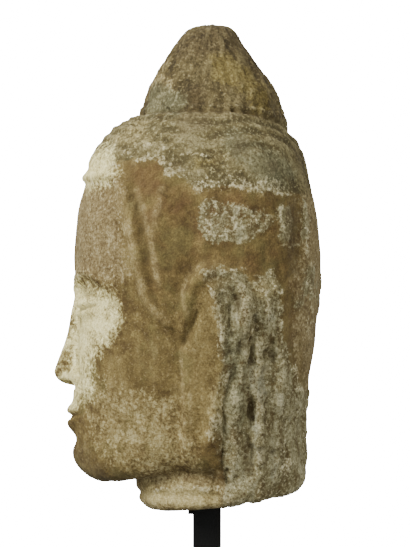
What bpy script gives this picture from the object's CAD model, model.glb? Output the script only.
"""A weathered sandstone head of the Buddha on its steel rod and black block, dressed for rendering.

The stone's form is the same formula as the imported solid's, drawn as a dense mesh that also carries the
strands, the flaking, the pits and the crusts. Lengths in the formula are millimetres, and the head's heights
start at the lowest point of the broken neck. Everything that reaches Blender is in metres.
"""
import math

import bpy
import numpy as np
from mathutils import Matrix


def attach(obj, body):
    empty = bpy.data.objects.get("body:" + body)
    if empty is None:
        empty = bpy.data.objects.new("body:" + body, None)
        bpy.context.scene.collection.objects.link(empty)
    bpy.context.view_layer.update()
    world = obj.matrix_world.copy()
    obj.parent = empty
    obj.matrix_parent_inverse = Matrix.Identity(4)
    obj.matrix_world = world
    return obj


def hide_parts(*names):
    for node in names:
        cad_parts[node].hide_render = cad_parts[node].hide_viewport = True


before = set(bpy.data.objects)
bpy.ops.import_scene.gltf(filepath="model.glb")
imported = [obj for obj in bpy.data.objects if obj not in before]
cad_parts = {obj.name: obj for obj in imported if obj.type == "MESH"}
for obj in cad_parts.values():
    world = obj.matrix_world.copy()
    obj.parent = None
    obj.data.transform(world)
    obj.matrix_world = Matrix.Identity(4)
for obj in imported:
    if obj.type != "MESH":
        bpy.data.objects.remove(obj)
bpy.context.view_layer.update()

MM = 0.001

# ---- driving dimensions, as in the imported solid
BLOCK_HEIGHT = 60.0
ROD_SIDE = 20.0
ROD_FREE_LENGTH = 80.0
ROD_SOCKET_DEPTH = 50.0
SOCKET_GAP = 0.3
HEAD_Z = BLOCK_HEIGHT + ROD_FREE_LENGTH
TOP_Z = 345.0
CROWN_Z = 285.0
CHIN_Z = 20.0
HAIRLINE_Z = CROWN_Z - (CROWN_Z - CHIN_Z) / 5
THIRD = (HAIRLINE_Z - CHIN_Z) / 3
BROW_Z = HAIRLINE_Z - THIRD
NOSE_BASE_Z = BROW_Z - THIRD
MOUTH_Z = NOSE_BASE_Z - THIRD / 3
EYE_Z = (CROWN_Z + CHIN_Z) / 2 - 6
EYE_X = 32.0
EYE_HALF = EYE_X * 0.62
MOUTH_HALF = 29.0
NOSTRIL_X = 6.5
WING_X = 13.0
WING_Z = NOSE_BASE_Z + 6.5
HAIR_THICKNESS = 2.2

WIDEST_Y = 5.0
CROWN_TRIM_Z = 286.0
NECK_RADIUS = 51.0
NECK_TOP_Z = 110.0
# Level sections of the head under its features: height, front, back and half width.
SECTIONS = [
    (-20, -86, 59.5, 56),
    (5, -86, 63, 60),
    (30, -88, 66.7, 64),
    (65, -90, 66.8, 70),
    (90, -90, 69.5, 75),
    (120, -89, 74, 79.5),
    (150, -90, 76.8, 82.5),
    (180, -92, 78.2, 84),
    (206, -90.5, 75.2, 83),
    (232, -84.2, 70.4, 79),
    (252, -77.5, 66, 72),
    (264, -68.5, 59, 65),
    (274, -56, 49.5, 57),
    (281, -42, 39, 50),
    (287, -26, 27, 36),
]
# Level sections of the topknot: height, front and back. It is as wide as it is deep.
TOPKNOT_SECTIONS = [
    (258, -52, 59),
    (274, -48.5, 56),
    (284, -45, 54.2),
    (294, -41.5, 51.6),
    (303, -38.3, 46),
    (311, -34.8, 40),
    (322, -28.3, 32.2),
    (334, -20, 24),
    (341, -13.5, 17.5),
    (345, -4.5, 9.5),
]
TOPKNOT_FOOT_Z = 262.0

# The dense mesh has this many corners round the head and this many rings from the neck to the topknot.
COLUMNS = 330
RINGS = 296


# ---- small mathematics
def clamp01(t):
    return np.clip(t, 0.0, 1.0)


def mix(a, b, t):
    return a + (b - a) * t


def ramp(start, end, x):
    t = clamp01((x - start) / (end - start))
    return t * t * (3 - 2 * t)


def bell(x, width):
    return np.exp(-((x / width) ** 2))


def mound(dx, rx, dz, rz):
    return np.exp(-((dx / rx) ** 2) - (dz / rz) ** 2)


def soft_min(a, b, k):
    """The lesser of two distances, with the corner between them rounded over k."""
    return np.minimum(a, b) - (np.maximum(k - np.abs(a - b), 0) / k) ** 2 * k * 0.25


def soft_max(a, b, k):
    return -soft_min(-a, -b, k)


def curve_through(rows):
    """A smooth curve through rows of (station, value, value ...)."""
    table = np.array(rows, dtype=float)
    before = table[np.maximum(np.arange(len(table)) - 1, 0)]
    after = table[np.minimum(np.arange(len(table)) + 1, len(table) - 1)]
    slope = (after - before) / (after[:, :1] - before[:, :1])

    def at(station):
        i = np.clip(np.searchsorted(table[:, 0], station, side="right") - 1, 0, len(table) - 2)
        step = table[i + 1, 0] - table[i, 0]
        t = clamp01((station - table[i, 0]) / step)
        rising = t * t * (3 - 2 * t)
        leaving = t * (1 - t) * (1 - t) * step
        arriving = t * t * (t - 1) * step
        values = []
        for k in range(1, table.shape[1]):
            blended = mix(table[i, k], table[i + 1, k], rising)
            values.append(blended + leaving * slope[i, k] + arriving * slope[i + 1, k])
        return values

    return at


def line_distance(points, y, z):
    """Distance from (y, z) to a bent line of (y, z) points."""
    best = np.full(np.shape(y), np.inf)
    for (ay, az), (by, bz) in zip(points, points[1:]):
        span = (by - ay) ** 2 + (bz - az) ** 2
        t = clamp01(((y - ay) * (by - ay) + (z - az) * (bz - az)) / span)
        best = np.minimum(best, np.hypot(y - mix(ay, by, t), z - mix(az, bz, t)))
    return best


def nearest_lines(lines, y, z):
    """Distance to the nearest of several bent lines."""
    return np.minimum.reduce([line_distance(line, y, z) for line in lines])


# ---- the head's body
section_at = curve_through(SECTIONS)


def skull(x, y, z):
    front, back, half_width = section_at(z)
    dy = y - WIDEST_Y
    ahead = dy < 0
    depth = np.where(ahead, WIDEST_Y - front, back - WIDEST_Y)
    power = np.where(ahead, 2.25, 2.5)
    reach = np.maximum(np.hypot(x, dy), 1e-3)
    ratio = (np.abs(x / half_width) ** power + np.abs(dy / depth) ** power) ** (1 / power)
    return soft_max(reach * (1 - 1 / ratio), z - CROWN_TRIM_Z, 6)


def jaw_underside(y, z):
    height = mix(CHIN_Z, CHIN_Z + 9, ramp(-80, -20, y)) - 70 * ramp(2, 26, y)
    return height - z


def neck(x, y, z):
    fold = 2.4 * bell(z - 13.5, 3)
    chipped = 6 * ramp(14, 0, z) * ramp(-15, -42, y)
    around = np.hypot(x, (y - 8) * 0.87) - NECK_RADIUS + fold + chipped
    return soft_max(around, z - NECK_TOP_Z, 12)


topknot_at = curve_through(TOPKNOT_SECTIONS)


def topknot(x, y, z):
    front, back = topknot_at(z)
    radius = (back - front) / 2
    away = np.hypot(x, y - (front + back) / 2) - radius
    lean = mix(0.97, 0.55, ramp(300, 340, z))
    return soft_max(soft_max(away * lean, z - TOP_Z, 5), TOPKNOT_FOOT_Z - z, 4)


def near_knot_foot(z):
    """A share that grows to 1 up to the height at which the topknot leaves the head."""
    return ramp(254, 264, z)


def break_plane(y, z):
    """The neck broke along a plane that climbs towards the nape."""
    return 0.5 + 0.1 * (y + 40) + 0.07 * np.maximum(0, y - 5) - z


# ---- the face, as height over the skull
def brow(x, z):
    across = np.abs(x)
    arch = BROW_Z + 7 - 10 * ((across - 32) / 28) ** 2
    below = arch - z
    ridge = 1.9 * bell(below + 1.5, 4.2) * ramp(66, 50, across)
    socket = 5.0 * ramp(-1, 8, below) * ramp(36, 14, below) * ramp(5, 17, across) * ramp(62, 44, across)
    return ridge - socket


def eye_place(x, z):
    """How open the almond of the eye is here, and the height over its middle line."""
    along = np.clip((np.abs(x) - EYE_X) / EYE_HALF, -1, 1)
    return 1 - along * along, z - EYE_Z - 1.8 * along


def eye(x, z):
    almond, dz = eye_place(x, z)
    rise = clamp01(1 - (dz / 12) ** 2)
    ball = 5.6 * rise * rise * (3 - 2 * rise) * almond**0.6
    upper_lid = 1.1 * bell(dz + 0.4 * almond, 2)
    opening = 1.7 * bell(dz + 3.4 * almond, 1.7)
    lower_lid = 0.8 * bell(dz + 6.6 * almond, 1.8)
    crease = 0.9 * bell(dz - 8.2 * almond, 1.6)
    return ball + (upper_lid - opening + lower_lid - crease) * almond


def nose(x, z):
    across = np.abs(x)
    tip_z = NOSE_BASE_Z + 9
    up = clamp01((z - tip_z) / (BROW_Z + 4 - tip_z))
    under = clamp01((tip_z - z) / 11)
    height = mix(16.5, 1.2, up**0.92) * np.sqrt(1 - under * under)
    width = mix(14, 10.5, ramp(0, 0.4, up)) + 3 * ramp(0.7, 1, up)
    bridge = height * ramp(1.1, 0.12, across / width)
    wing = 6.8 * mound(across - WING_X, 5.6, z - WING_Z, 6.8)
    nostril = 3.2 * mound(across - NOSTRIL_X, 3.4, z - NOSE_BASE_Z + 1, 2.6)
    return soft_max(bridge, wing, 4) - nostril


def lip_parting(x):
    """Height of the line between the lips, and how far towards the mouth's corner it is."""
    across = np.minimum(np.abs(x) / MOUTH_HALF, 1)
    return MOUTH_Z + 3.5 * across**2, across


def mouth(x, z):
    parting, across = lip_parting(x)
    muzzle = 4.4 * mound(x, 34, z - MOUTH_Z - 3, 27)
    philtrum = 1.1 * mound(x, 3.2, z - MOUTH_Z - 18, 6)
    taper = 1 - across**2
    above = 9.5 * taper**0.7 - 1.3 * bell(x, 4)
    below = 10.5 * taper**0.8
    height = np.where(z > parting, above, below)
    share = np.abs(z - parting) / np.maximum(height, 0.8)
    lip = 4.0 * ramp(1.3, 0.5, share) - 1.7 * bell(share, 0.24)
    return muzzle - philtrum + lip * np.sqrt(taper)


def chin_and_cheeks(x, z):
    chin = 5 * mound(x, 19, z - CHIN_Z - 15, 14)
    fold = 2.2 * mound(x, 17, z - MOUTH_Z + 17, 5)
    cheek = 3.2 * mound(np.abs(x) - 42, 22, z - NOSE_BASE_Z - 12, 30)
    crease = 1.4 * mound(np.abs(x) - 27 + (z - NOSE_BASE_Z) * 0.45, 4, z - NOSE_BASE_Z + 4, 15)
    return chin - fold + cheek - crease


def face(x, y, z):
    return ramp(-18, -42, y) * (brow(x, z) + eye(x, z) + nose(x, z) + mouth(x, z) + chin_and_cheeks(x, z))


# ---- hair, drawn on the head seen from the side
# The hair's front edge below the forehead: a pointed lock before the ear, then the back of the lobe.
hair_edge_at = curve_through([
    (20, 10),
    (112, 9),
    (124, -8),
    (133, -30),
    (150, -44),
    (185, -52),
    (226, -61),
    (240, -66),
])


def outside_hair(y, z):
    """Distance outside the hair, negative on it."""
    (edge_y,) = hair_edge_at(z)
    return soft_min(HAIRLINE_Z + 1 - z, (edge_y - y) * 0.9, 8)


def hair(y, z):
    outside = outside_hair(y, z)
    bare = ramp(-1, 3, ear_outline(y, z))
    cap = HAIR_THICKNESS * mix(1, ramp(2.2, -2.2, outside), bare)
    cord = 1.5 * bell(outside + 3.4, 2.8)
    groove = 1.2 * bell(outside + 9, 3)
    return cap + (cord - groove) * ramp(118, 140, z) * bare


NAPE_LOCKS = [
    [(25, 150), (25, 128), (21, 96), (20, 62), (20, 30)],
    [(39, 162), (39, 118), (37, 76), (33, 24)],
    [(52, 158), (53, 122), (52, 78), (48, 24)],
]
REAR_GROOVE = [(58, 252), (62, 224), (63, 190), (60, 160)]


def nape_locks(y, z):
    ridge = 2.6 * bell(nearest_lines(NAPE_LOCKS, y, z), 4.6)
    groove = 2.0 * bell(line_distance(REAR_GROOVE, y, z), 4.4) * ramp(258, 236, z)
    return ridge * ramp(12, 34, z) * ramp(168, 140, z) - groove


# ---- the ear, drawn the same way
LOBE_LINE = [(-1, 118), (-4, 90), (-5, 62), (-4.5, 42)]
FRONT_RIM = [(-15.5, 138), (-12.5, 158), (-4.5, 169), (7, 172), (17, 169)]
INNER_RIDGE = [(-2, 163), (3, 157), (7.5, 138), (11, 122), (9.5, 96), (5.5, 76), (1.5, 52)]
OUTER_STRIP = [(20, 163), (27, 152), (28, 140)]
NOTCH = [(-7, 141), (-11, 131), (-17, 120)]
BEHIND_LOBE = [(15, 96), (11, 78), (8, 38)]
POCKET_Y = 16.5
POCKET_Z = 141.0
BOWL_Y = -8.0
BOWL_Z = 152.0


def ear_outline(y, z):
    tilted = y - 5.5 - (z - 138) * 0.06
    shell = (np.hypot(tilted / 24, (z - 138) / 37) - 1) * 24
    lobe = line_distance(LOBE_LINE, y, z) - 12
    return soft_min(shell, lobe, 12)


def ear(y, z):
    edge = ear_outline(y, z)
    # The lobe rises out of the cheek and stands highest at its rear edge.
    lobe = mix(1.2, 4.6, ramp(-20, 2, y))
    plate = mix(lobe, 5.6, ramp(96, 132, z)) * ramp(3.4, -3.4, edge)
    front_rim = 2.6 * bell(line_distance(FRONT_RIM, y, z), 3.8)
    ridge = 2.8 * bell(line_distance(INNER_RIDGE, y, z), 3.2)
    strip = 2.2 * bell(line_distance(OUTER_STRIP, y, z), 4)
    pocket = 6.6 * mound(y - POCKET_Y - (z - POCKET_Z) * 0.1, 6.2, z - POCKET_Z, 17)
    behind_lobe = 3.0 * bell(line_distance(BEHIND_LOBE, y, z), 3.8)
    bowl = 2.4 * mound(y - BOWL_Y, 5, z - BOWL_Z, 9)
    notch = 3.2 * bell(line_distance(NOTCH, y, z), 3.2)
    lobe_rim = 1.2 * mound(y + 16, 2.4, z - 65, 18)
    channel = 2.2 * mound(y + 6, 4.6, z - 62, 19)
    height = plate + front_rim + ridge + strip - pocket - behind_lobe - bowl - notch + lobe_rim - channel
    return height * ramp(10, 8, edge)


# ---- weather
def wear(x, y, z):
    """Slow swells and dents that centuries of wear left on the whole block."""
    def wave(k, a, b, c):
        return np.sin(x * k + a + 1.7 * np.sin(y * k * 0.8 + b)) * np.sin(z * k * 0.9 + c + y * k)

    return 0.7 * wave(0.07, 1.1, 0.4, 2.0) + 0.45 * wave(0.16, 4.2, 2.5, 0.7)


# Scars on the figure's left: place in the side view, size each way and depth.
SCARS = [
    (43, 112, 3.6, 3.6, 4),
    (31, 76, 3, 8, 3.4),
    (33, 45, 3.4, 5, 3.2),
    (16, 25, 7, 7, 4),
]


def scars(x, y, z):
    depth = sum(d * mound(y - sy, ry, z - sz, rz) for sy, sz, ry, rz, d in SCARS)
    return depth * (x >= 20)


def stone(x, y, z):
    """The whole stone as one distance in millimetres, negative inside."""
    side = ramp(22, 46, np.abs(x))
    on_skull = face(x, y, z) + hair(y, z) + side * (ear(y, z) + nape_locks(y, z)) - scars(x, y, z)
    head = soft_max(skull(x, y, z) - on_skull, jaw_underside(y, z), 26)
    with_neck = soft_min(head, neck(x, y, z), 3)
    knot = topknot(x, y, z)
    apart = with_neck - knot
    foot = (1.5 * bell(apart - 6, 3.5) - 0.8 * bell(apart + 2, 4)) * near_knot_foot(z)
    return soft_max(soft_min(with_neck, knot, 7) - foot - wear(x, y, z), break_plane(y, z), 9)


# ---- from the formula to a grid of points
# Looks leave an upright line in the stone's core: down at its low end, level along it, up at its high end.
CORE_LOW = 72.0
CORE_HIGH = 232.0
CORE_REACH = 85.0
QUARTER = math.pi / 2 * CORE_REACH
CORE_PATH = QUARTER * 2 + CORE_HIGH - CORE_LOW
# Each look comes in from outside by steps, then the last step is halved this many times.
SEARCH_START = 132.0
SEARCH_STEP = 3.0
HALVINGS = 14


def looks(u, v):
    along = v * CORE_PATH
    start = np.clip(CORE_LOW + along - QUARTER, CORE_LOW, CORE_HIGH)
    climb = (along - QUARTER - (start - CORE_LOW)) / CORE_REACH
    turn = u * 2 * math.pi
    level = np.cos(climb)
    return start, np.stack([np.sin(turn) * level, -np.cos(turn) * level, np.sin(climb)], axis=-1)


def surface_points(u, v):
    start, direction = looks(u, v)

    def value(reach, chosen):
        p = direction[chosen] * reach[chosen, None]
        return stone(p[:, 0], p[:, 1], p[:, 2] + start[chosen])

    outer = np.full(len(u), SEARCH_START)
    searching = np.arange(len(u))
    while len(searching):
        searching = searching[value(outer, searching) > 0]
        outer[searching] -= SEARCH_STEP
    inner = outer.copy()
    outer += SEARCH_STEP
    everything = np.arange(len(u))
    for _ in range(HALVINGS):
        middle = (inner + outer) / 2
        outside = value(middle, everything) > 0
        outer = np.where(outside, middle, outer)
        inner = np.where(outside, inner, middle)
    points = direction * inner[:, None]
    points[:, 2] += start
    return points


# ---- noise with a fixed seed
def lattice(ix, iy, iz, seed):
    """A fixed value from 0 to 1 at each whole-number point."""
    h = (ix * 374761393 + iy * 668265263 + iz * 1274126177 + seed * 974634777) & 0xFFFFFFFF
    h = ((h ^ (h >> 13)) * 1103515245) & 0xFFFFFFFF
    h = ((h ^ (h >> 15)) * 668265263) & 0xFFFFFFFF
    return ((h ^ (h >> 16)) & 0xFFFF) / 65535.0


def noise(p, size, seed):
    """Smooth noise from 0 to 1 with lumps of about the given size."""
    q = p / size
    cell = np.floor(q).astype(np.int64)
    t = q - cell
    t = t * t * (3 - 2 * t)
    total = np.zeros(len(p))
    for dx in (0, 1):
        for dy in (0, 1):
            for dz in (0, 1):
                weight = np.abs(1 - dx - t[:, 0]) * np.abs(1 - dy - t[:, 1]) * np.abs(1 - dz - t[:, 2])
                total += weight * lattice(cell[:, 0] + dx, cell[:, 1] + dy, cell[:, 2] + dz, seed)
    return total


def fractal(p, size, seed, octaves=3):
    """Noise from about 0 to 1 with ever finer lumps."""
    total = np.zeros(len(p))
    weight = 1.0
    weights = 0.0
    for octave in range(octaves):
        total += weight * noise(p, size / 2**octave, seed + octave)
        weights += weight
        weight *= 0.55
    return total / weights


def lumps(p, height, size, seed, octaves=3):
    """Rises and dips about zero that span about the given height."""
    return height * (fractal(p, size, seed, octaves) - 0.5)


def patchy(p, size, seed, low=0.38, high=0.6, octaves=3):
    """A share that is 0 in some places and 1 in others."""
    return ramp(low, high, fractal(p, size, seed, octaves))


# ---- what time left on the surface
# The patches and lines below are placed as they line up with the head's outline in a side view, where its
# near side is closer to the eye and looks a little larger about the view's middle.
NEAR_SIDE = 1.03
VIEW_Y = -1.4
VIEW_Z = 168.2


def side_view(p):
    return VIEW_Y + (p[:, 1] - VIEW_Y) * NEAR_SIDE, VIEW_Z + (p[:, 2] - VIEW_Z) * NEAR_SIDE


# For each deposit, over how many millimetres its edge fades, and its patches as outlines of (y, z) points.
PATCHES = {
    # Grey-cream grains: rosettes over the ear, a strip behind them, and all of the wreck behind the ear.
    "crust": (3, [
        [(-5, 214), (2, 218), (10, 218), (25, 214), (36, 212), (45, 208), (46, 202), (40, 196), (32, 192),
         (24, 190), (14, 190), (6, 189), (-1, 191), (-5, 199)],
        [(50, 216), (58, 216), (59, 194), (51, 191)],
        [(-7, 171), (6, 173), (16, 171), (25, 167), (30, 162), (36, 166), (43, 165), (46, 175), (49, 164),
         (55, 157), (54, 153), (54, 125), (58, 116), (61, 102), (66, 88), (74, 78), (95, 70), (95, -5),
         (12, -5), (9, 14), (12, 23), (9, 40), (6, 43), (7, 54), (4, 61), (8, 70), (6, 74), (9, 82),
         (8, 94), (13, 102), (9, 111), (8, 119), (10, 125), (8, 137), (5, 149), (0, 157), (-4, 163)],
        [(70, 176), (77, 172), (77, 150), (72, 148), (69, 160)],
        [(61, 150), (68, 151), (68, 142), (62, 143)],
        [(67, 222), (72, 222), (71, 192), (67, 190)],
    ]),
    # Smooth pale lime: from the brow to the cheek and the upper lip, and the front of the hair's border.
    "lime": (13, [
        [(-130, 169), (-93, 167), (-84, 161), (-77, 155), (-70, 157), (-65, 150), (-62, 140), (-63, 132),
         (-67, 124), (-77, 113), (-83, 104), (-85, 96), (-84, 84), (-92, 74), (-130, 74)],
        [(-110, 228), (-110, 247), (-80, 257), (-72, 258), (-67, 250), (-70, 231)],
    ]),
    # A smooth pale wash: the neck's roll, the cap's front, behind the ear's top and the lobe's rear edge.
    "wash": (9, [
        [(-46, 16), (-20, 18), (9, 15), (10, 3), (-20, -2), (-46, 2)],
        [(-72, 262), (-58, 277), (-44, 281), (-36, 270), (-36, 257), (-54, 256)],
        [(-2, 257), (15, 255), (15, 237), (-1, 237)],
        [(21, 167), (30, 163), (50, 166), (52, 150), (28, 146)],
        [(5, 98), (12, 98), (11, 74), (4, 72)],
    ]),
    # A thin grey film on the forehead, the back and the neck's rolls.
    "film": (12, [
        [(-110, 234), (-64, 234), (-60, 208), (-58, 190), (-56, 172), (-60, 164), (-70, 162), (-110, 166)],
        [(-40, 28), (4, 27), (12, 14), (44, 9), (10, -6), (-54, -6), (-54, 14)],
        [(66, 226), (95, 226), (95, 88), (70, 84), (66, 104), (62, 124), (62, 164), (68, 190)],
    ]),
    # Yellowish dust on the jaw and the front of the topknot.
    "dust": (16, [
        [(-84, 96), (-66, 89), (-50, 84), (-32, 80), (-14, 76), (-6, 54), (-6, 30), (-40, 22), (-62, 30),
         (-82, 50), (-90, 76)],
        [(-36, 318), (-28, 318), (-26, 300), (-46, 300)],
    ]),
    # A smooth tan on the front of the ear and its lobe.
    "tan": (9, [
        [(-10, 136), (-8, 152), (0, 164), (10, 165), (5, 136), (6, 110), (4, 84), (2, 52), (-18, 46),
         (-18, 84), (-14, 112)],
    ]),
    # Dark red-brown skin: temple, over the ear, under the lobe, and the bare band at the back.
    "umber": (9, [
        [(-58, 248), (-34, 250), (-26, 238), (-8, 224), (52, 224), (62, 218), (62, 186), (58, 166),
         (44, 172), (30, 168), (16, 175), (-4, 176), (-18, 164), (-24, 148), (-36, 146), (-44, 160),
         (-48, 190)],
        [(-10, 44), (4, 50), (12, 42), (16, 20), (8, 12), (-2, 30)],
        [(56, 164), (66, 168), (66, 110), (62, 104), (56, 122)],
    ]),
    # Sooty grey-brown dirt: high on the topknot, in spots on the cap, behind the rosettes, under the chin.
    "soot": (6, [
        [(-34, 352), (34, 352), (44, 322), (48, 306), (42, 304), (28, 321), (8, 330), (-8, 324),
         (-24, 322)],
        [(40, 247), (50, 248), (53, 241), (45, 238)],
        [(17, 268), (29, 263), (30, 250), (19, 253)],
        [(61, 262), (72, 258), (76, 228), (66, 230)],
        [(-29, 248), (-17, 248), (-16, 242), (-27, 242)],
        [(-110, 48), (-88, 46), (-80, 33), (-68, 26), (-58, 20), (-58, 10), (-110, 10)],
        [(-14, 302), (-2, 304), (2, 290), (-10, 286)],
        [(56, 223), (66, 223), (66, 168), (58, 167)],
        [(-22, 280), (2, 280), (2, 269), (-18, 267)],
    ]),
    # A yellow-green film high on the topknot and by the edge of the cap's crust.
    "ochre": (5, [
        [(2, 323), (16, 325), (25, 319), (32, 311), (41, 303), (46, 296), (46, 284), (32, 284), (30, 298),
         (16, 303), (6, 309)],
        [(-10, 250), (6, 251), (8, 244), (-8, 243)],
    ]),
    # Grey-green growth: on the cap's shoulder, at the topknot's foot and in the shade behind the ear.
    "moss": (8, [
        [(12, 271), (28, 266), (34, 254), (22, 246), (12, 256)],
        [(28, 262), (52, 256), (66, 240), (58, 228), (40, 226), (26, 240)],
        [(-48, 299), (-32, 304), (-18, 298), (-14, 289), (-22, 281), (-48, 281)],
        [(14, 130), (26, 132), (27, 60), (14, 58)],
    ]),
}
# Lime that clings to edges, as widths and lines of (y, z) points.
RIME = [
    (1.7, [(-63, 248), (-54, 250), (-43, 250), (-35, 251), (-32, 246), (-26, 239), (-19, 238)]),
    (1.5, [(-19, 238), (-12, 233), (-6, 228), (6, 229), (19, 230), (31, 228), (43, 227), (58, 225)]),
    (1.1, [(-52, 257), (-38, 258), (-26, 255), (-6, 252), (2, 253)]),
    (1.5, [(-92, 246), (-78, 245), (-63, 244)]),
    (1.8, [(-92, 234), (-63, 234)]),
    (1.0, [(-78, 173), (-68, 173)]),
    (1.0, [(-1, 195), (15, 194)]),
    (1.6, [(52, 215), (53, 195)]),
    (1.1, [(53, 189), (66, 188)]),
    (1.4, [(69, 217), (71, 200)]),
    (1.7, [(2, 159), (5, 149), (8, 139), (10, 128), (10, 120)]),
    (2.2, [(13, 100), (12, 86), (9, 74), (4, 60), (2, 49)]),
    (2.8, [(29, 158), (38, 156), (48, 158)]),
    (3.2, [(55, 48), (58, 37), (55, 27)]),
    (1.0, [(17, 171), (27, 171)]),
    (1.3, [(45, 175), (47, 160)]),
    (1.3, [(52, 157), (52, 124)]),
    (1.4, [(36, 150), (35, 138), (31, 121), (27, 104)]),
    (1.2, [(40, 160), (41, 140)]),
    (1.6, [(57, 114), (61, 102), (65, 88), (68, 79)]),
    (1.0, [(70, 139), (73, 127)]),
    (1.6, [(71, 176), (71, 160)]),
    (1.3, [(71, 196), (73, 172)]),
    (1.4, [(74, 160), (75, 132)]),
    (1.4, [(-43, 13), (-20, 14.5), (9, 13)]),
]
# Rings of crust round a dark hollow, as centre and radius.
ROSETTES = [(27, 208, 8), (39.5, 206.5, 6.5), (3, 212, 5.5), (-0.5, 202.5, 5), (15, 202, 5)]
HAIR_EDGE = [
    (-63, 231), (-59.5, 213), (-55.5, 197), (-50.5, 181), (-47.5, 167), (-45.5, 153), (-37, 141), (-28, 134),
]
# Rubbed crests, a little paler than the stone: the hair's edge, locks before the ear, its rim and its lobe.
CREST = [
    (3.4, HAIR_EDGE),
    (3.0, [(-50, 228), (-44.5, 209.5), (-39.6, 188)]),
    (3.0, [(-32, 228), (-36, 209.5), (-39.6, 188), (-34, 160)]),
    (1.9, [(-6.4, 173), (-13.4, 166), (-17, 156), (-16.3, 147), (-13.4, 139)]),
    (1.5, [(-18.4, 116), (-17, 82), (-15.5, 48)]),
    (1.4, [(-12, 84), (-11.3, 48)]),
]
# The groove between the hair's edge and the locks before the ear.
TEMPLE_GROOVE = [(-54, 226), (-49, 210), (-45, 195), (-43, 178)]
# Dirt that fills hollows, as widths and lines of (y, z) points.
DIRT = [
    (2.2, [(-12, 132), (-15, 126), (-18, 119)]),
    (4.6, TEMPLE_GROOVE),
    (4.0, [(22, 150), (26, 140), (25, 126), (22, 113)]),
    (3.6, [(39, 107), (39, 94), (39, 80)]),
    (3.6, [(30, 45), (31, 36), (28, 27)]),
    (3.0, [(39, 43), (38, 33)]),
    (2.0, [(35, 291), (35, 283)]),
    (3.0, [(-8, 300), (-9, 288)]),
    (2.5, [(-8, 332), (-8, 326)]),
    (4.0, [(9, 40), (11, 28), (12, 17)]),
    (3.2, [(61, 214), (62, 200), (61, 186), (60, 168)]),
]
# The lower edge of the crusted cap, as (y, z) points from the brow to the back.
CAP_EDGE = [
    (-130, 247), (-62, 247.5), (-34, 251), (-30, 240), (-19, 236.5), (-6.5, 226.5), (8, 228), (20, 229.5),
    (32, 227), (43, 226), (58, 225), (66, 226), (74, 205), (90, 200),
]


def outline_distance(outline, y, z):
    """Distance outside a closed outline, negative within it."""
    inside = np.zeros(np.shape(y), dtype=bool)
    for (ay, az), (by, bz) in zip(outline, outline[1:] + outline[:1]):
        crosses = (az > z) != (bz > z)
        inside ^= crosses & (y < ay + (z - az) / ((bz - az) or 1e-9) * (by - ay))
    away = line_distance(outline + outline[:1], y, z)
    return np.where(inside, -away, away)


def lines_share(lines, y, z):
    return np.maximum.reduce([bell(line_distance(points, y, z), width) for width, points in lines])


def zones(p):
    """How much of each deposit lies at each point, from 0 to 1."""
    seen_y, seen_z = side_view(p)
    # Away from the near side the patches are pushed about, so that the far side isn't its mirror image.
    elsewhere = ramp(40, -20, p[:, 0])
    y = seen_y + lumps(p, 44, 42, 16, 2) * elsewhere
    z = seen_z + lumps(p, 44, 42, 17, 2) * elsewhere
    ragged = lumps(p, 9 + 10 * elsewhere, 14, 11) + lumps(p, 6, 5, 12, 2)
    shares = {}
    for name, (fade, outlines) in PATCHES.items():
        away = np.minimum.reduce([outline_distance(outline, y, z) for outline in outlines])
        shares[name] = ramp(fade, -fade, away + ragged)
    over_edge = z - np.interp(y, *np.array(CAP_EDGE, dtype=float).T)
    shares["cap"] = ramp(-2.5, 2.5, over_edge + 0.7 * ragged)
    shares["knot"] = ramp(274, 284, z)

    side = ramp(15, 35, np.abs(p[:, 0]))
    wander_y = lumps(p, 7, 7, 13, 2)
    wander_z = lumps(p, 7, 7, 14, 2)
    broken = patchy(p, 6, 15, octaves=2)
    rings = np.zeros(len(p))
    for ring_y, ring_z, radius in ROSETTES:
        away = np.hypot(y + wander_y - ring_y, (z + wander_z - ring_z) * 1.15)
        rings = np.maximum(rings, bell(away - radius, 2.2))
        shares["crust"] = np.minimum(shares["crust"], 1 - 0.8 * bell(away, radius * 0.4))
    lines = np.maximum(lines_share(RIME, y + wander_y, z + wander_z), 0.65 * rings)
    rim = 0.6 * bell(over_edge - 4, 7) * ramp(-64, -58, y) * ramp(62, 54, y)
    shares["rime"] = np.maximum(lines, rim) * side * (0.3 + 0.7 * broken)
    # Lime has come off in islands away from the near side, and it is rubbed thin on the ridge of the nose.
    shares["lime"] *= mix(1, patchy(p, 24, 18, 0.3, 0.58), elsewhere)
    shares["lime"] *= 1 - 0.45 * ramp(13, 6, np.abs(p[:, 0])) * ramp(-86, -94, p[:, 1]) * broken
    shares["wash"] *= mix(1, 0.5, ramp(60, 120, z))
    shares["crest"] = lines_share(CREST, seen_y, seen_z) * side * (0.5 + 0.5 * broken)
    shares["dirt"] = np.maximum.reduce([
        lines_share(DIRT, seen_y + wander_y, seen_z + wander_z) * side * (0.4 + 0.6 * broken),
        face_lines(p) * (0.5 + 0.5 * broken),
        0.7 * knot_foot(p) * (0.4 + 0.6 * broken),
    ])
    return shares


# The hair is combed about a level line through the head at the middle of its skull, and about the topknot.
COMB_Y = -2.0
COMB_Z = 170.0
COMB_WIDTH = 84.0
COMB_DEPTH = 86.0
COMB_HEIGHT = 110.0
COMB_PITCH = 4.4
KNOT_Y = 5.0
KNOT_STRANDS = 34
KNOT_RING_PITCH = 5.2


def comb_turn(p):
    """The angle from the head's outline over towards its ear, at which the strands run back."""
    x, y, z = p.T
    level = np.hypot((y - COMB_Y) / COMB_DEPTH, (z - COMB_Z) / COMB_HEIGHT)
    return np.arctan2(np.abs(x) / COMB_WIDTH, level)


def strands(p):
    """Combed strands that run back over the head beside its outline, as a wave from -1 to 1."""
    return np.sin(comb_turn(p) * 2 * math.pi * COMB_WIDTH / COMB_PITCH + 3.5 * fractal(p, 26, 21, 2))


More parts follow.
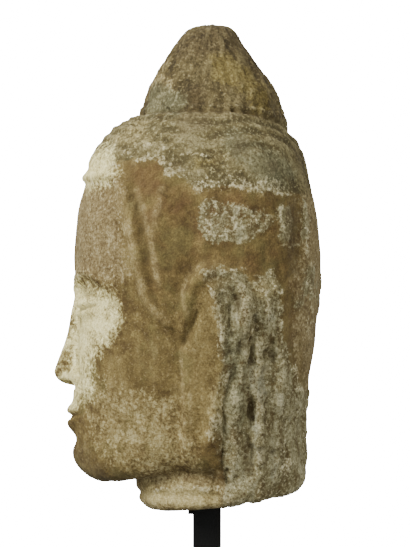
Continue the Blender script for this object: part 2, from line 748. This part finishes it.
def strand_noise(p, share):
    """Streaks that follow the strands: beside the outline on the cap, upright on the topknot."""
    x, y, z = p.T
    along = np.arctan2(z - COMB_Z, y - COMB_Y) * 90
    on_cap = fractal(np.stack([comb_turn(p) * COMB_WIDTH, along * 0.3, np.sign(x) * 50], axis=1), 5, 25)
    round_knot = np.arctan2(x, y - KNOT_Y) * 40
    on_knot = fractal(np.stack([round_knot, z * 0.35, x * 0], axis=1), 5, 26)
    return mix(on_cap, on_knot, share["knot"])


# Locks before the ear, which gather towards its notch.
TEMPLE_LOCKS = [
    [(-50, 230), (-45, 210), (-40, 188), (-35, 160), (-29, 138)],
    [(-32, 228), (-36, 210), (-40, 188)],
    [(-19, 228), (-18, 210), (-21, 182), (-27, 150)],
]
# Broken channels, ledges and hollows in the wreck of hair and ear behind the lobe.
CHANNELS = [
    [(22, 150), (26, 140), (25, 126), (22, 112)],
    [(33.5, 138), (33.5, 126), (31.5, 112), (30, 100)],
    [(29, 88), (31, 76), (32, 66)],
    [(31, 50), (30, 40), (33, 32)],
    [(39, 150), (41, 136), (40, 128)],
    [(39, 106), (40, 90), (40, 76), (43, 64)],
    [(58, 98), (61, 84), (60, 70)],
    [(12, 34), (14, 22), (10, 14)],
]
LEDGES = [
    [(30, 160), (32, 144), (27, 122), (23.5, 100), (22, 80)],
    [(19, 88), (19, 60), (20, 36)],
    [(36, 122), (37, 108), (36, 96)],
    [(51, 122), (52, 104), (55, 88), (53, 74)],
    [(38, 82), (37, 66), (40, 48), (38, 34)],
]
PITS = [(43, 112, 3.6), (17, 112, 3), (56, 64, 2.6), (34, 24, 2.8), (48, 40, 2.4), (-17, 120, 2.2)]


def knot_foot(p):
    """How near each point is to the groove that runs round the topknot's foot."""
    x, y, z = p.T
    return bell(skull(x, y, z) - HAIR_THICKNESS - topknot(x, y, z) + 1, 2.4) * near_knot_foot(z)


def knot_rings(p):
    """Rings of hair about the topknot's foot, as a wave from -1 to 1 that dies away down the cap."""
    x, y, z = p.T
    beyond = topknot(x, y, z)
    wave = np.cos(beyond * 2 * math.pi / KNOT_RING_PITCH) * ramp(3, 7, beyond) * ramp(40, 20, beyond)
    return wave * patchy(p, 18, 24, 0.25, 0.5) * ramp(246, 258, z)


def face_lines(p):
    """How near each point is to a cut line of the face, at its eyelids, lips, nostrils and nose wings."""
    x, y, z = p.T
    across = np.abs(x)
    almond, dz = eye_place(x, z)
    opening = bell(dz + 3.4 * almond, 1.9) * np.sqrt(almond)
    crease = 0.7 * bell(dz - 8.2 * almond, 1.9) * almond
    parting, _ = lip_parting(x)
    lips = bell(z - parting, 1.8) * ramp(MOUTH_HALF + 3, MOUTH_HALF - 2, across)
    nostril = mound(across - NOSTRIL_X, 3, z - NOSE_BASE_Z + 0.5, 2.4)
    round_wing = np.hypot(across - WING_X, (z - WING_Z) / 1.1)
    wing = 0.8 * bell(round_wing - 8, 1.9) * ramp(11, 15, across)
    lines = np.maximum.reduce([opening, crease, lips, nostril, wing])
    return lines * ramp(-40, -60, y)


def hair_relief(p, share):
    """Strands on the cap and the topknot, rings on the cap, and the welt and groove where they meet."""
    x, y, z = p.T
    on_hair = ramp(0, -3, outside_hair(y, z)) * ramp(176, 226, z) * ramp(284, 274, z)
    combed = 0.4 * strands(p) * on_hair * patchy(p, 20, 6, 0.3)
    wave = np.sin(np.arctan2(x, y - KNOT_Y) * KNOT_STRANDS + 9 * fractal(p, 22, 22, 2))
    upright = 0.4 * wave * share["knot"] * ramp(328, 292, z) * patchy(p, 14, 23, 0.35)
    streaks = (strand_noise(p, share) - 0.5) * mix(1.2 * share["cap"], 2.0, share["knot"])
    welt = 0.8 * bell(topknot(x, y, z) - 5, 2.4)
    foot = (welt - 1.0 * knot_foot(p)) * ramp(250, 262, z)
    return combed + upright + streaks + 0.6 * knot_rings(p) + foot


def side_relief(p):
    """The locks before the ear, and the ledges, channels and pits of the wreck behind it."""
    x, y, z = p.T
    seen_y, seen_z = side_view(p)
    locks = 0.9 * bell(nearest_lines(TEMPLE_LOCKS, seen_y, seen_z), 3.4)
    locks = np.maximum(locks, 1.6 * bell(line_distance(HAIR_EDGE, seen_y, seen_z), 4.2))
    locks -= 0.7 * bell(line_distance(TEMPLE_GROOVE, seen_y, seen_z), 4.4)

    broken = patchy(p, 9, 33, 0.3, 0.55, octaves=2)
    torn_y = seen_y + lumps(p, 8, 8, 31)
    torn_z = seen_z + lumps(p, 8, 8, 32)
    ledges = 1.6 * bell(nearest_lines(LEDGES, torn_y, torn_z), 3.2)
    hollows = 2.4 * broken * bell(nearest_lines(CHANNELS, torn_y, torn_z), 2.6)
    for pit_y, pit_z, radius in PITS:
        hollows = np.maximum(hollows, 2.6 * bell(np.hypot(torn_y - pit_y, torn_z - pit_z), radius))

    # Grit clogs the solid's deeper hollows.
    grit = 2.8 * bell(line_distance(BEHIND_LOBE, y, z), 4.4) * ramp(92, 76, z) * (0.4 + 0.6 * broken)
    grit += 1.8 * mound(y - POCKET_Y, 6, z - POCKET_Z, 15) * (0.3 + 0.7 * broken)
    grit += 2.0 * mound(y - BOWL_Y, 5, z - BOWL_Z, 9)
    return ramp(25, 50, np.abs(x)) * (locks + ledges + grit - hollows)


def fine_relief(p, share):
    """Height in millimetres that weather and the mason left on the stone."""
    coated = np.clip(share["crust"] + 0.5 * share["knot"] + 0.35 * share["cap"], 0, 1)
    rough = np.maximum(coated, 0.22 + 0.1 * share["lime"] + 0.2 * share["dust"])
    grain = lumps(p, 2.2, 10, 2) + lumps(p, 1.3, 3.4, 3, 2) - 1.0 * ramp(0.68, 0.82, noise(p, 4.5, 4))
    deposit = 0.55 * share["crust"] + 0.45 * share["rime"] + 0.3 * share["lime"] - 0.7 * share["dirt"]

    wreck = share["crust"] * ramp(180, 160, p[:, 2])
    upright = p * np.array([1, 1, 0.4])
    torn = lumps(upright, 3.8, 9, 7) + lumps(p * np.array([1, 1, 0.22]), 1.8, 4.6, 8, 2)
    holes = 1.1 * ramp(0.7, 0.85, noise(upright, 5, 5))

    even = lumps(p, 1.5, 30, 1) + grain * rough + (torn - holes) * wreck + deposit
    return even + hair_relief(p, share) + side_relief(p) - 1.6 * face_lines(p)


# ---- the stone's mesh
def grid_normals(points):
    """Outward normals of the ring grid, from its neighbours round and up."""
    around = np.roll(points, -1, axis=1) - np.roll(points, 1, axis=1)
    up = np.empty_like(points)
    up[1:-1] = points[2:] - points[:-2]
    up[0] = points[1] - points[0]
    up[-1] = points[-1] - points[-2]
    normal = np.cross(around, up)
    return normal / np.maximum(np.linalg.norm(normal, axis=-1, keepdims=True), 1e-9)


def smoothed(values, passes):
    """The grid's values, each averaged with its neighbours so many times over."""
    for _ in range(passes):
        round_mean = (np.roll(values, 1, axis=1) + np.roll(values, -1, axis=1)) / 2
        up_mean = values.copy()
        up_mean[1:-1] = (values[2:] + values[:-2]) / 2
        values = (values * 2 + round_mean + up_mean) / 4
    return values


def in_scene(name, data):
    obj = bpy.data.objects.new(name, data)
    bpy.context.scene.collection.objects.link(obj)
    return obj


def make_mesh(name, points, faces):
    """A smooth-shaded piece from points in millimetres."""
    mesh = bpy.data.meshes.new(name)
    mesh.from_pydata((np.asarray(points) * MM).tolist(), [], faces)
    mesh.validate()
    mesh.shade_smooth()
    return in_scene(name, mesh)


def grid_faces(rings):
    """Quads between the rings, then a fan in the socket's ceiling and one at the topknot's tip."""
    i = np.arange(COLUMNS)
    following = (i + 1) % COLUMNS
    faces = []
    for ring in range(rings - 1):
        low = ring * COLUMNS
        high = low + COLUMNS
        faces += np.stack([low + i, low + following, high + following, high + i], axis=1).tolist()
    bottom = rings * COLUMNS
    top = bottom + 1
    last = (rings - 1) * COLUMNS
    faces += [[bottom, int(b), int(a)] for a, b in zip(i, following)]
    faces += [[top, last + int(a), last + int(b)] for a, b in zip(i, following)]
    return faces


# The socket's worn mouth: how much wider than the socket it is, and how far above the break.
SOCKET_MOUTH = [(0.0, 1.2), (0.9, 0.2)]
# The stone's own rings begin this far outside the rod.
SOCKET_RIM = 1.6


def socket_rings():
    """The rod's square socket in the neck, as rings of points from its ceiling down to its worn mouth."""
    turn = np.arange(COLUMNS) / COLUMNS * 2 * math.pi
    outward = np.stack([np.sin(turn), -np.cos(turn)])
    square = outward / np.abs(outward).max(axis=0)
    half = ROD_SIDE / 2 + SOCKET_GAP
    rings = [np.stack([*(square * half), np.full(COLUMNS, ROD_SOCKET_DEPTH)], axis=-1)]
    for wider, above_break in SOCKET_MOUTH:
        x, y = square * (half + wider)
        rings.append(np.stack([x, y, break_plane(y, 0) + above_break], axis=-1))
    return np.array(rings)


def on_grid(values):
    """The values of all points but the two tips, by ring and column."""
    return values[:-2].reshape((RINGS - 1, COLUMNS) + values.shape[1:])


def attribute(mesh, name, values):
    layer = mesh.attributes.new(name, "FLOAT", "POINT")
    layer.data.foreach_set("value", np.ascontiguousarray(values, dtype=np.float32))


def build_head():
    ring, column = np.meshgrid(np.arange(1, RINGS), np.arange(COLUMNS), indexing="ij")
    u = (column / COLUMNS).ravel()
    v = (ring / RINGS).ravel()
    base = surface_points(np.append(u, [0.0, 0.0]), np.append(v, [0.0, 1.0]))
    share = zones(base)
    # The relief fades out where the rod, its tab and the rod's hole meet the stone.
    x, y, z = base.T
    near_rod = ramp(26, 17, np.hypot(x, y)) * ramp(20, 10, z)
    relief = mix(fine_relief(base, share), -0.2, near_rod)

    normals = grid_normals(smoothed(on_grid(base), 2))
    carved = base.copy()
    carved[:-2] += normals.reshape(-1, 3) * relief[:-2, None]
    grid = on_grid(carved)

    share["strand"] = strand_noise(base, share) + 0.2 * knot_rings(base)
    # How far each point stands out of, or lies below, the smoothed surface round it, near and wide.
    for name, passes in (("proud", 10), ("broad", 60)):
        height = ((grid - smoothed(grid, passes)) * normals).sum(axis=-1)
        share[name] = np.append(height, [0, 0])

    # The rings nearest the rod make way for its socket, which takes its deposits from the first ring kept.
    reach = np.hypot(grid[..., 0], grid[..., 1]).min(axis=1)
    first = int(np.argmax(reach > (ROD_SIDE / 2 + SOCKET_RIM) * math.sqrt(2)))
    socket = socket_rings()
    rings = np.concatenate([socket, grid[first:]])
    ceiling = [0, 0, ROD_SOCKET_DEPTH]
    points = np.concatenate([rings.reshape(-1, 3), [ceiling, carved[-1]]])
    head = make_mesh("sandstone_head", points + np.array([0, 0, HEAD_Z]), grid_faces(len(rings)))
    rows = [first] * len(socket) + list(range(first, RINGS - 1))
    for name, values in share.items():
        attribute(head.data, name, np.append(on_grid(values)[rows], values[-2:]))
    return head


head = build_head()
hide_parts("stone_head")
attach(head, "root")


# ---- materials
def colour(red, green, blue):
    """A colour seen as 0 to 255 in sRGB, as the linear value that Blender's sockets take."""
    def linear(c):
        c /= 255
        return c / 12.92 if c <= 0.04045 else ((c + 0.055) / 1.055) ** 2.4

    return (linear(red), linear(green), linear(blue), 1.0)


class Surface:
    """A node material that is built up by calls, each giving back the socket that it ends in."""

    def __init__(self, name):
        self.material = bpy.data.materials.new(name)
        self.material.use_nodes = True
        self.tree = self.material.node_tree
        self.shader = self.tree.nodes["Principled BSDF"]
        self.place = self.tree.nodes.new("ShaderNodeTexCoord").outputs["Object"]

    def _feed(self, socket, value):
        if hasattr(value, "links"):
            self.tree.links.new(value, socket)
        else:
            socket.default_value = value

    def node(self, kind, feeds, **settings):
        """A node with these settings, and with a value or another node's socket fed to each named input."""
        node = self.tree.nodes.new("ShaderNode" + kind)
        for name, setting in settings.items():
            setattr(node, name, setting)
        for name, value in feeds.items():
            self._feed(node.inputs[name], value)
        return node.outputs

    def noise(self, size, detail=3.0, roughness=0.55, stretch=None):
        where = self.place
        if stretch:
            where = self.node("Mapping", {"Scale": stretch, "Vector": where})["Vector"]
        feeds = {"Scale": 1 / size, "Detail": detail, "Roughness": roughness, "Vector": where}
        return self.node("TexNoise", feeds)["Fac"]

    def value(self, name):
        return self.node("Attribute", {}, attribute_name=name)["Fac"]

    def sums(self, operation, a, b):
        return self.node("Math", {0: a, 1: b}, operation=operation)[0]

    def between(self, value, low, high, to_low=0.0, to_high=1.0):
        feeds = {"Value": value, "From Min": low, "From Max": high, "To Min": to_low, "To Max": to_high}
        return self.node("MapRange", feeds, interpolation_type="SMOOTHSTEP")["Result"]

    def mix(self, share, a, b, blend="MIX"):
        return self.node("Mix", {0: share, 6: a, 7: b}, data_type="RGBA", blend_type=blend)[2]

    def mix_value(self, share, a, b):
        return self.node("Mix", {0: share, 2: a, 3: b})[0]

    def bump(self, height, depth):
        return self.node("Bump", {"Distance": depth, "Height": height})["Normal"]

    def finish(self, base, roughness, normal, specular):
        inputs = self.shader.inputs
        self._feed(inputs["Base Color"], base)
        self._feed(inputs["Roughness"], roughness)
        self._feed(inputs["Normal"], normal)
        self._feed(inputs["Specular IOR Level"], specular)
        return self.material


# The stone and what lies on it: dark, middle and pale tones, from 0 to 255.
TONES = {
    "bare": ((84, 68, 36), (107, 91, 52), (136, 120, 74)),
    "bare streaks": ((92, 77, 41), (119, 103, 61), (150, 134, 86)),
    "umber": ((76, 60, 30), (99, 82, 46), (126, 107, 64)),
    "cap": ((72, 65, 38), (105, 96, 62), (139, 130, 92)),
    "cap strands": ((66, 58, 33), (108, 98, 63), (150, 140, 100)),
    "knot": ((56, 47, 26), (84, 73, 44), (122, 110, 74)),
    "knot strands": ((54, 45, 24), (88, 75, 43), (130, 117, 78)),
    "ochre": ((90, 77, 36), (118, 104, 54), (144, 131, 80)),
    "film": ((104, 88, 58), (136, 120, 82), (170, 156, 116)),
    "dust": ((114, 98, 59), (151, 135, 89), (188, 175, 128)),
    "crust": ((96, 89, 58), (132, 125, 90), (166, 160, 124)),
    "moss": ((80, 78, 52), (108, 107, 78), (142, 141, 110)),
    "tan": ((112, 96, 54), (136, 119, 73), (158, 142, 95)),
    "wash": ((158, 142, 91), (191, 176, 121), (218, 204, 150)),
    "lime": ((190, 176, 114), (229, 218, 154), (252, 244, 184)),
    "rime": ((150, 137, 96), (192, 181, 138), (226, 218, 178)),
    "crest": ((132, 115, 74), (158, 141, 97), (186, 170, 124)),
    "soot": ((60, 50, 32), (84, 72, 48), (116, 104, 74)),
}


def sandstone():
    s = Surface("sandstone")
    dots = s.noise(0.0012, 2, 0.7)
    speckle = s.noise(0.0022, 3, 0.7)
    blotch = s.noise(0.010, 5, 0.70)
    hue = s.noise(0.024, 3, 0.6)
    cloud = s.noise(0.038, 4, 0.6)
    streak = s.noise(0.010, 4, 0.65, stretch=(1, 1, 0.28))
    mottle = s.mix_value(0.45, speckle, blotch)
    breaking = s.sums("SUBTRACT", mottle, 0.5)
    strand = s.value("strand")

    def tones(noise, name, width=0.14):
        """A colour that runs from dark to pale as the noise runs about its middle."""
        dark, middle, pale = [colour(*tone) for tone in TONES[name]]
        lower = s.mix(s.between(noise, 0.5 - width, 0.5), dark, middle)
        return s.mix(s.between(noise, 0.5, 0.5 + width), lower, pale)

    def flecked(tone, noise, start, end, most, fleck):
        """The tone, with more and more of the fleck's colour as the noise goes from start to end."""
        return s.mix(s.between(noise, start, end, 0, most), tone, colour(*fleck))

    def lay(base, name, tone, strength, low, high, most=1.0):
        """The base with a deposit on it, which breaks up into grains where it thins out."""
        share = s.value(name)
        grains = s.between(s.sums("ADD", share, s.sums("MULTIPLY", breaking, strength)), low, high, 0, most)
        return s.mix(s.sums("MULTIPLY", grains, s.between(share, 0.02, 0.4)), base, tone)

    base = s.mix(s.between(cloud, 0.42, 0.62, 0, 0.7), tones(blotch, "bare"), tones(streak, "bare streaks"))
    base = flecked(base, speckle, 0.55, 0.7, 0.45, (166, 149, 106))
    base = flecked(base, speckle, 0.45, 0.3, 0.45, (84, 65, 34))

    # The bare stone runs from olive to red-brown.
    base = flecked(base, hue, 0.5, 0.66, 0.5, (108, 101, 58))
    umber = flecked(tones(blotch, "umber"), hue, 0.5, 0.36, 0.5, (102, 74, 46))
    umber = flecked(umber, hue, 0.5, 0.64, 0.45, (98, 90, 50))
    base = lay(base, "umber", umber, 2, 0.3, 0.9, 0.75)

    cap = s.mix(0.55, tones(blotch, "cap"), tones(strand, "cap strands", 0.2))
    cap = flecked(cap, speckle, 0.53, 0.66, 0.65, (174, 165, 122))
    cap = flecked(cap, speckle, 0.47, 0.35, 0.7, (70, 61, 36))
    base = lay(base, "cap", cap, 2.5, 0.2, 0.95)

    knot = s.mix(0.45, tones(blotch, "knot"), tones(strand, "knot strands", 0.2))
    knot = flecked(knot, speckle, 0.54, 0.67, 0.65, (154, 140, 98))
    knot = flecked(knot, speckle, 0.46, 0.35, 0.6, (52, 44, 26))
    knot = flecked(knot, cloud, 0.46, 0.34, 0.6, (70, 58, 36))
    base = s.mix(s.sums("MULTIPLY", s.value("knot"), 0.85), base, knot)
    base = lay(base, "ochre", tones(mottle, "ochre", 0.1), 3, 0.2, 1.0, 0.65)

    film = flecked(tones(mottle, "film", 0.12), speckle, 0.55, 0.68, 0.6, (192, 179, 140))
    film = flecked(film, speckle, 0.45, 0.34, 0.6, (96, 80, 52))
    base = lay(base, "film", film, 3, 0.1, 0.9, 0.85)
    base = lay(base, "dust", tones(mottle, "dust", 0.1), 4, 0.25, 1.25, 0.85)

    crust = tones(s.mix_value(0.5, blotch, streak), "crust", 0.1)
    crust = flecked(crust, streak, 0.5, 0.38, 0.6, (96, 80, 48))
    crust = flecked(crust, streak, 0.56, 0.68, 0.55, (150, 150, 126))
    crust = flecked(crust, speckle, 0.53, 0.64, 0.7, (196, 189, 150))
    crust = flecked(crust, speckle, 0.46, 0.36, 0.7, (84, 73, 43))
    base = lay(base, "crust", crust, 4.0, 0.2, 1.05)
    base = lay(base, "moss", tones(mottle, "moss", 0.1), 2.5, 0.2, 1.0, 0.6)

    base = lay(base, "tan", tones(mottle, "tan", 0.12), 2.0, 0.1, 1.1, 0.6)
    base = lay(base, "wash", tones(mottle, "wash", 0.12), 1.5, 0.1, 1.0, 0.85)
    lime = flecked(tones(mottle, "lime", 0.12), blotch, 0.46, 0.34, 0.5, (170, 155, 106))
    base = lay(base, "lime", lime, 3.5, 0.05, 1.0)
    base = lay(base, "rime", tones(speckle, "rime"), 4.0, 0.25, 1.05, 0.75)
    base = s.mix(s.between(s.value("crest"), 0.1, 1.0, 0, 0.6), base, tones(mottle, "crest", 0.1))
    base = lay(base, "soot", tones(mottle, "soot", 0.1), 3, 0.2, 1.0, 0.45)
    base = lay(base, "dirt", colour(66, 52, 28), 2, 0.1, 1.1, 0.45)

    # Crust that stands proud is rubbed pale, and hollows near and wide are darker.
    proud = s.value("proud")
    standing = s.sums("MULTIPLY", s.between(proud, 0.2, 1.4, 0, 0.45), s.between(speckle, 0.4, 0.58))
    standing = s.sums("MULTIPLY", standing, s.sums("MAXIMUM", s.value("crust"), s.value("cap")))
    base = s.mix(standing, base, colour(196, 186, 146))
    base = flecked(base, proud, -0.2, -1.7, 0.5, (70, 59, 33))
    base = flecked(base, s.value("broad"), -0.8, -4.0, 0.35, (76, 61, 34))
    base = s.mix(s.between(dots, 0.38, 0.62, 0, 0.42), base, colour(164, 154, 126), "MULTIPLY")

    fine = s.bump(s.sums("ADD", dots, speckle), 0.0008)
    return s.finish(base, s.between(blotch, 0.3, 0.7, 0.8, 0.95), fine, 0.22)


def black_paint(name, tone, roughness):
    s = Surface(name)
    cloud = s.noise(0.03, 3)
    brushed = s.noise(0.0015, 2, 0.6)
    base = s.mix(s.between(cloud, 0.3, 0.7), colour(*tone), colour(*[c + 6 for c in tone]))
    shine = s.between(cloud, 0.3, 0.7, roughness - 0.06, roughness + 0.08)
    return s.finish(base, shine, s.bump(brushed, 0.00015), 0.15)


def assign(obj, material):
    obj.data.materials.clear()
    obj.data.materials.append(material)


assign(head, sandstone())
assign(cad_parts["support_rod"], black_paint("black_steel", (6, 6, 4), 0.55))
assign(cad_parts["base_block"], black_paint("black_wood", (13, 13, 11), 0.45))


# ---- floor, backdrop, light and camera, in metres
FLOOR_RADIUS = 8.0
CURVE_RADIUS = 1.5
CURVE_STEPS = 12
WALL_TOP = 8.0
# The floor shows shadows out to the first of these distances and glows fully white from the second.
GLOW_FROM = 0.3
GLOW_FULL = 0.8


def build_sweep():
    """A pale floor that curves up into a wall all round."""
    # The inner rings keep the floor's shading flat round the object.
    profile = [(0.0, 0.0), (0.3, 0.0), (0.6, 0.0), (0.75, 0.0), (FLOOR_RADIUS, 0.0)]
    for step in range(1, CURVE_STEPS + 1):
        turn = step / CURVE_STEPS * math.pi / 2
        profile.append((FLOOR_RADIUS + CURVE_RADIUS * math.sin(turn), CURVE_RADIUS * (1 - math.cos(turn))))
    profile.append((FLOOR_RADIUS + CURVE_RADIUS, WALL_TOP))
    sides = 96
    points = [(0.0, 0.0, 0.0)]
    for radius, height in profile[1:]:
        for i in range(sides):
            turn = i / sides * 2 * math.pi
            points.append((radius * math.cos(turn), radius * math.sin(turn), height))
    faces = [(0, 1 + i, 1 + (i + 1) % sides) for i in range(sides)]
    for ring in range(len(profile) - 2):
        low = 1 + ring * sides
        high = low + sides
        faces += [(low + i, high + i, high + (i + 1) % sides, low + (i + 1) % sides) for i in range(sides)]
    return make_mesh("studio_sweep", np.array(points) / MM, faces)


def studio():
    """The floor shows shadows near the object and glows white away from it."""
    sweep = build_sweep()
    s = Surface("pale_floor")
    away = s.node("VectorMath", {0: s.place}, operation="LENGTH")["Value"]
    glow = s.between(away, GLOW_FROM, GLOW_FULL, 0.3, 24.0)
    s.shader.inputs["Emission Color"].default_value = (1, 1, 1, 1)
    s.tree.links.new(glow, s.shader.inputs["Emission Strength"])
    s.finish(colour(238, 238, 240), 0.9, s.bump(s.noise(0.02), 0.0001), 0.5)
    assign(sweep, s.material)
    sweep.visible_diffuse = False
    sweep.visible_glossy = False

    world = bpy.data.worlds.new("studio")
    world.use_nodes = True
    background = world.node_tree.nodes["Background"].inputs
    background["Color"].default_value = (1, 1, 1, 1)
    background["Strength"].default_value = 0.5
    bpy.context.scene.world = world


def area_light(name, place, target, size, power):
    light = bpy.data.lights.new(name, "AREA")
    light.shape = "SQUARE"
    light.size = size
    light.energy = power
    lamp = in_scene(name, light)
    lamp.location = place
    aim(lamp, target)


def aim(obj, target):
    direction = [t - p for t, p in zip(target, obj.location)]
    level = math.hypot(direction[0], direction[1])
    obj.rotation_euler = (math.atan2(level, -direction[2]), 0, math.atan2(-direction[0], direction[1]))


CAMERA_DISTANCE = 2.4
LENS = 223.0
MIDDLE = (0.0, VIEW_Y * MM, (HEAD_Z + VIEW_Z) * MM)

studio()
area_light("key", (1.3, -1.7, 1.25), MIDDLE, 0.8, 70)
area_light("fill", (1.2, 1.6, 0.7), MIDDLE, 1.4, 16)
area_light("low", (1.6, -0.7, 0.12), MIDDLE, 0.9, 5)
area_light("top", (0.3, -0.4, 1.8), MIDDLE, 1.0, 14)

camera_data = bpy.data.cameras.new("camera")
camera_data.lens = LENS
camera = in_scene("camera", camera_data)
camera.location = (CAMERA_DISTANCE, MIDDLE[1], MIDDLE[2])
aim(camera, MIDDLE)
bpy.context.scene.camera = camera
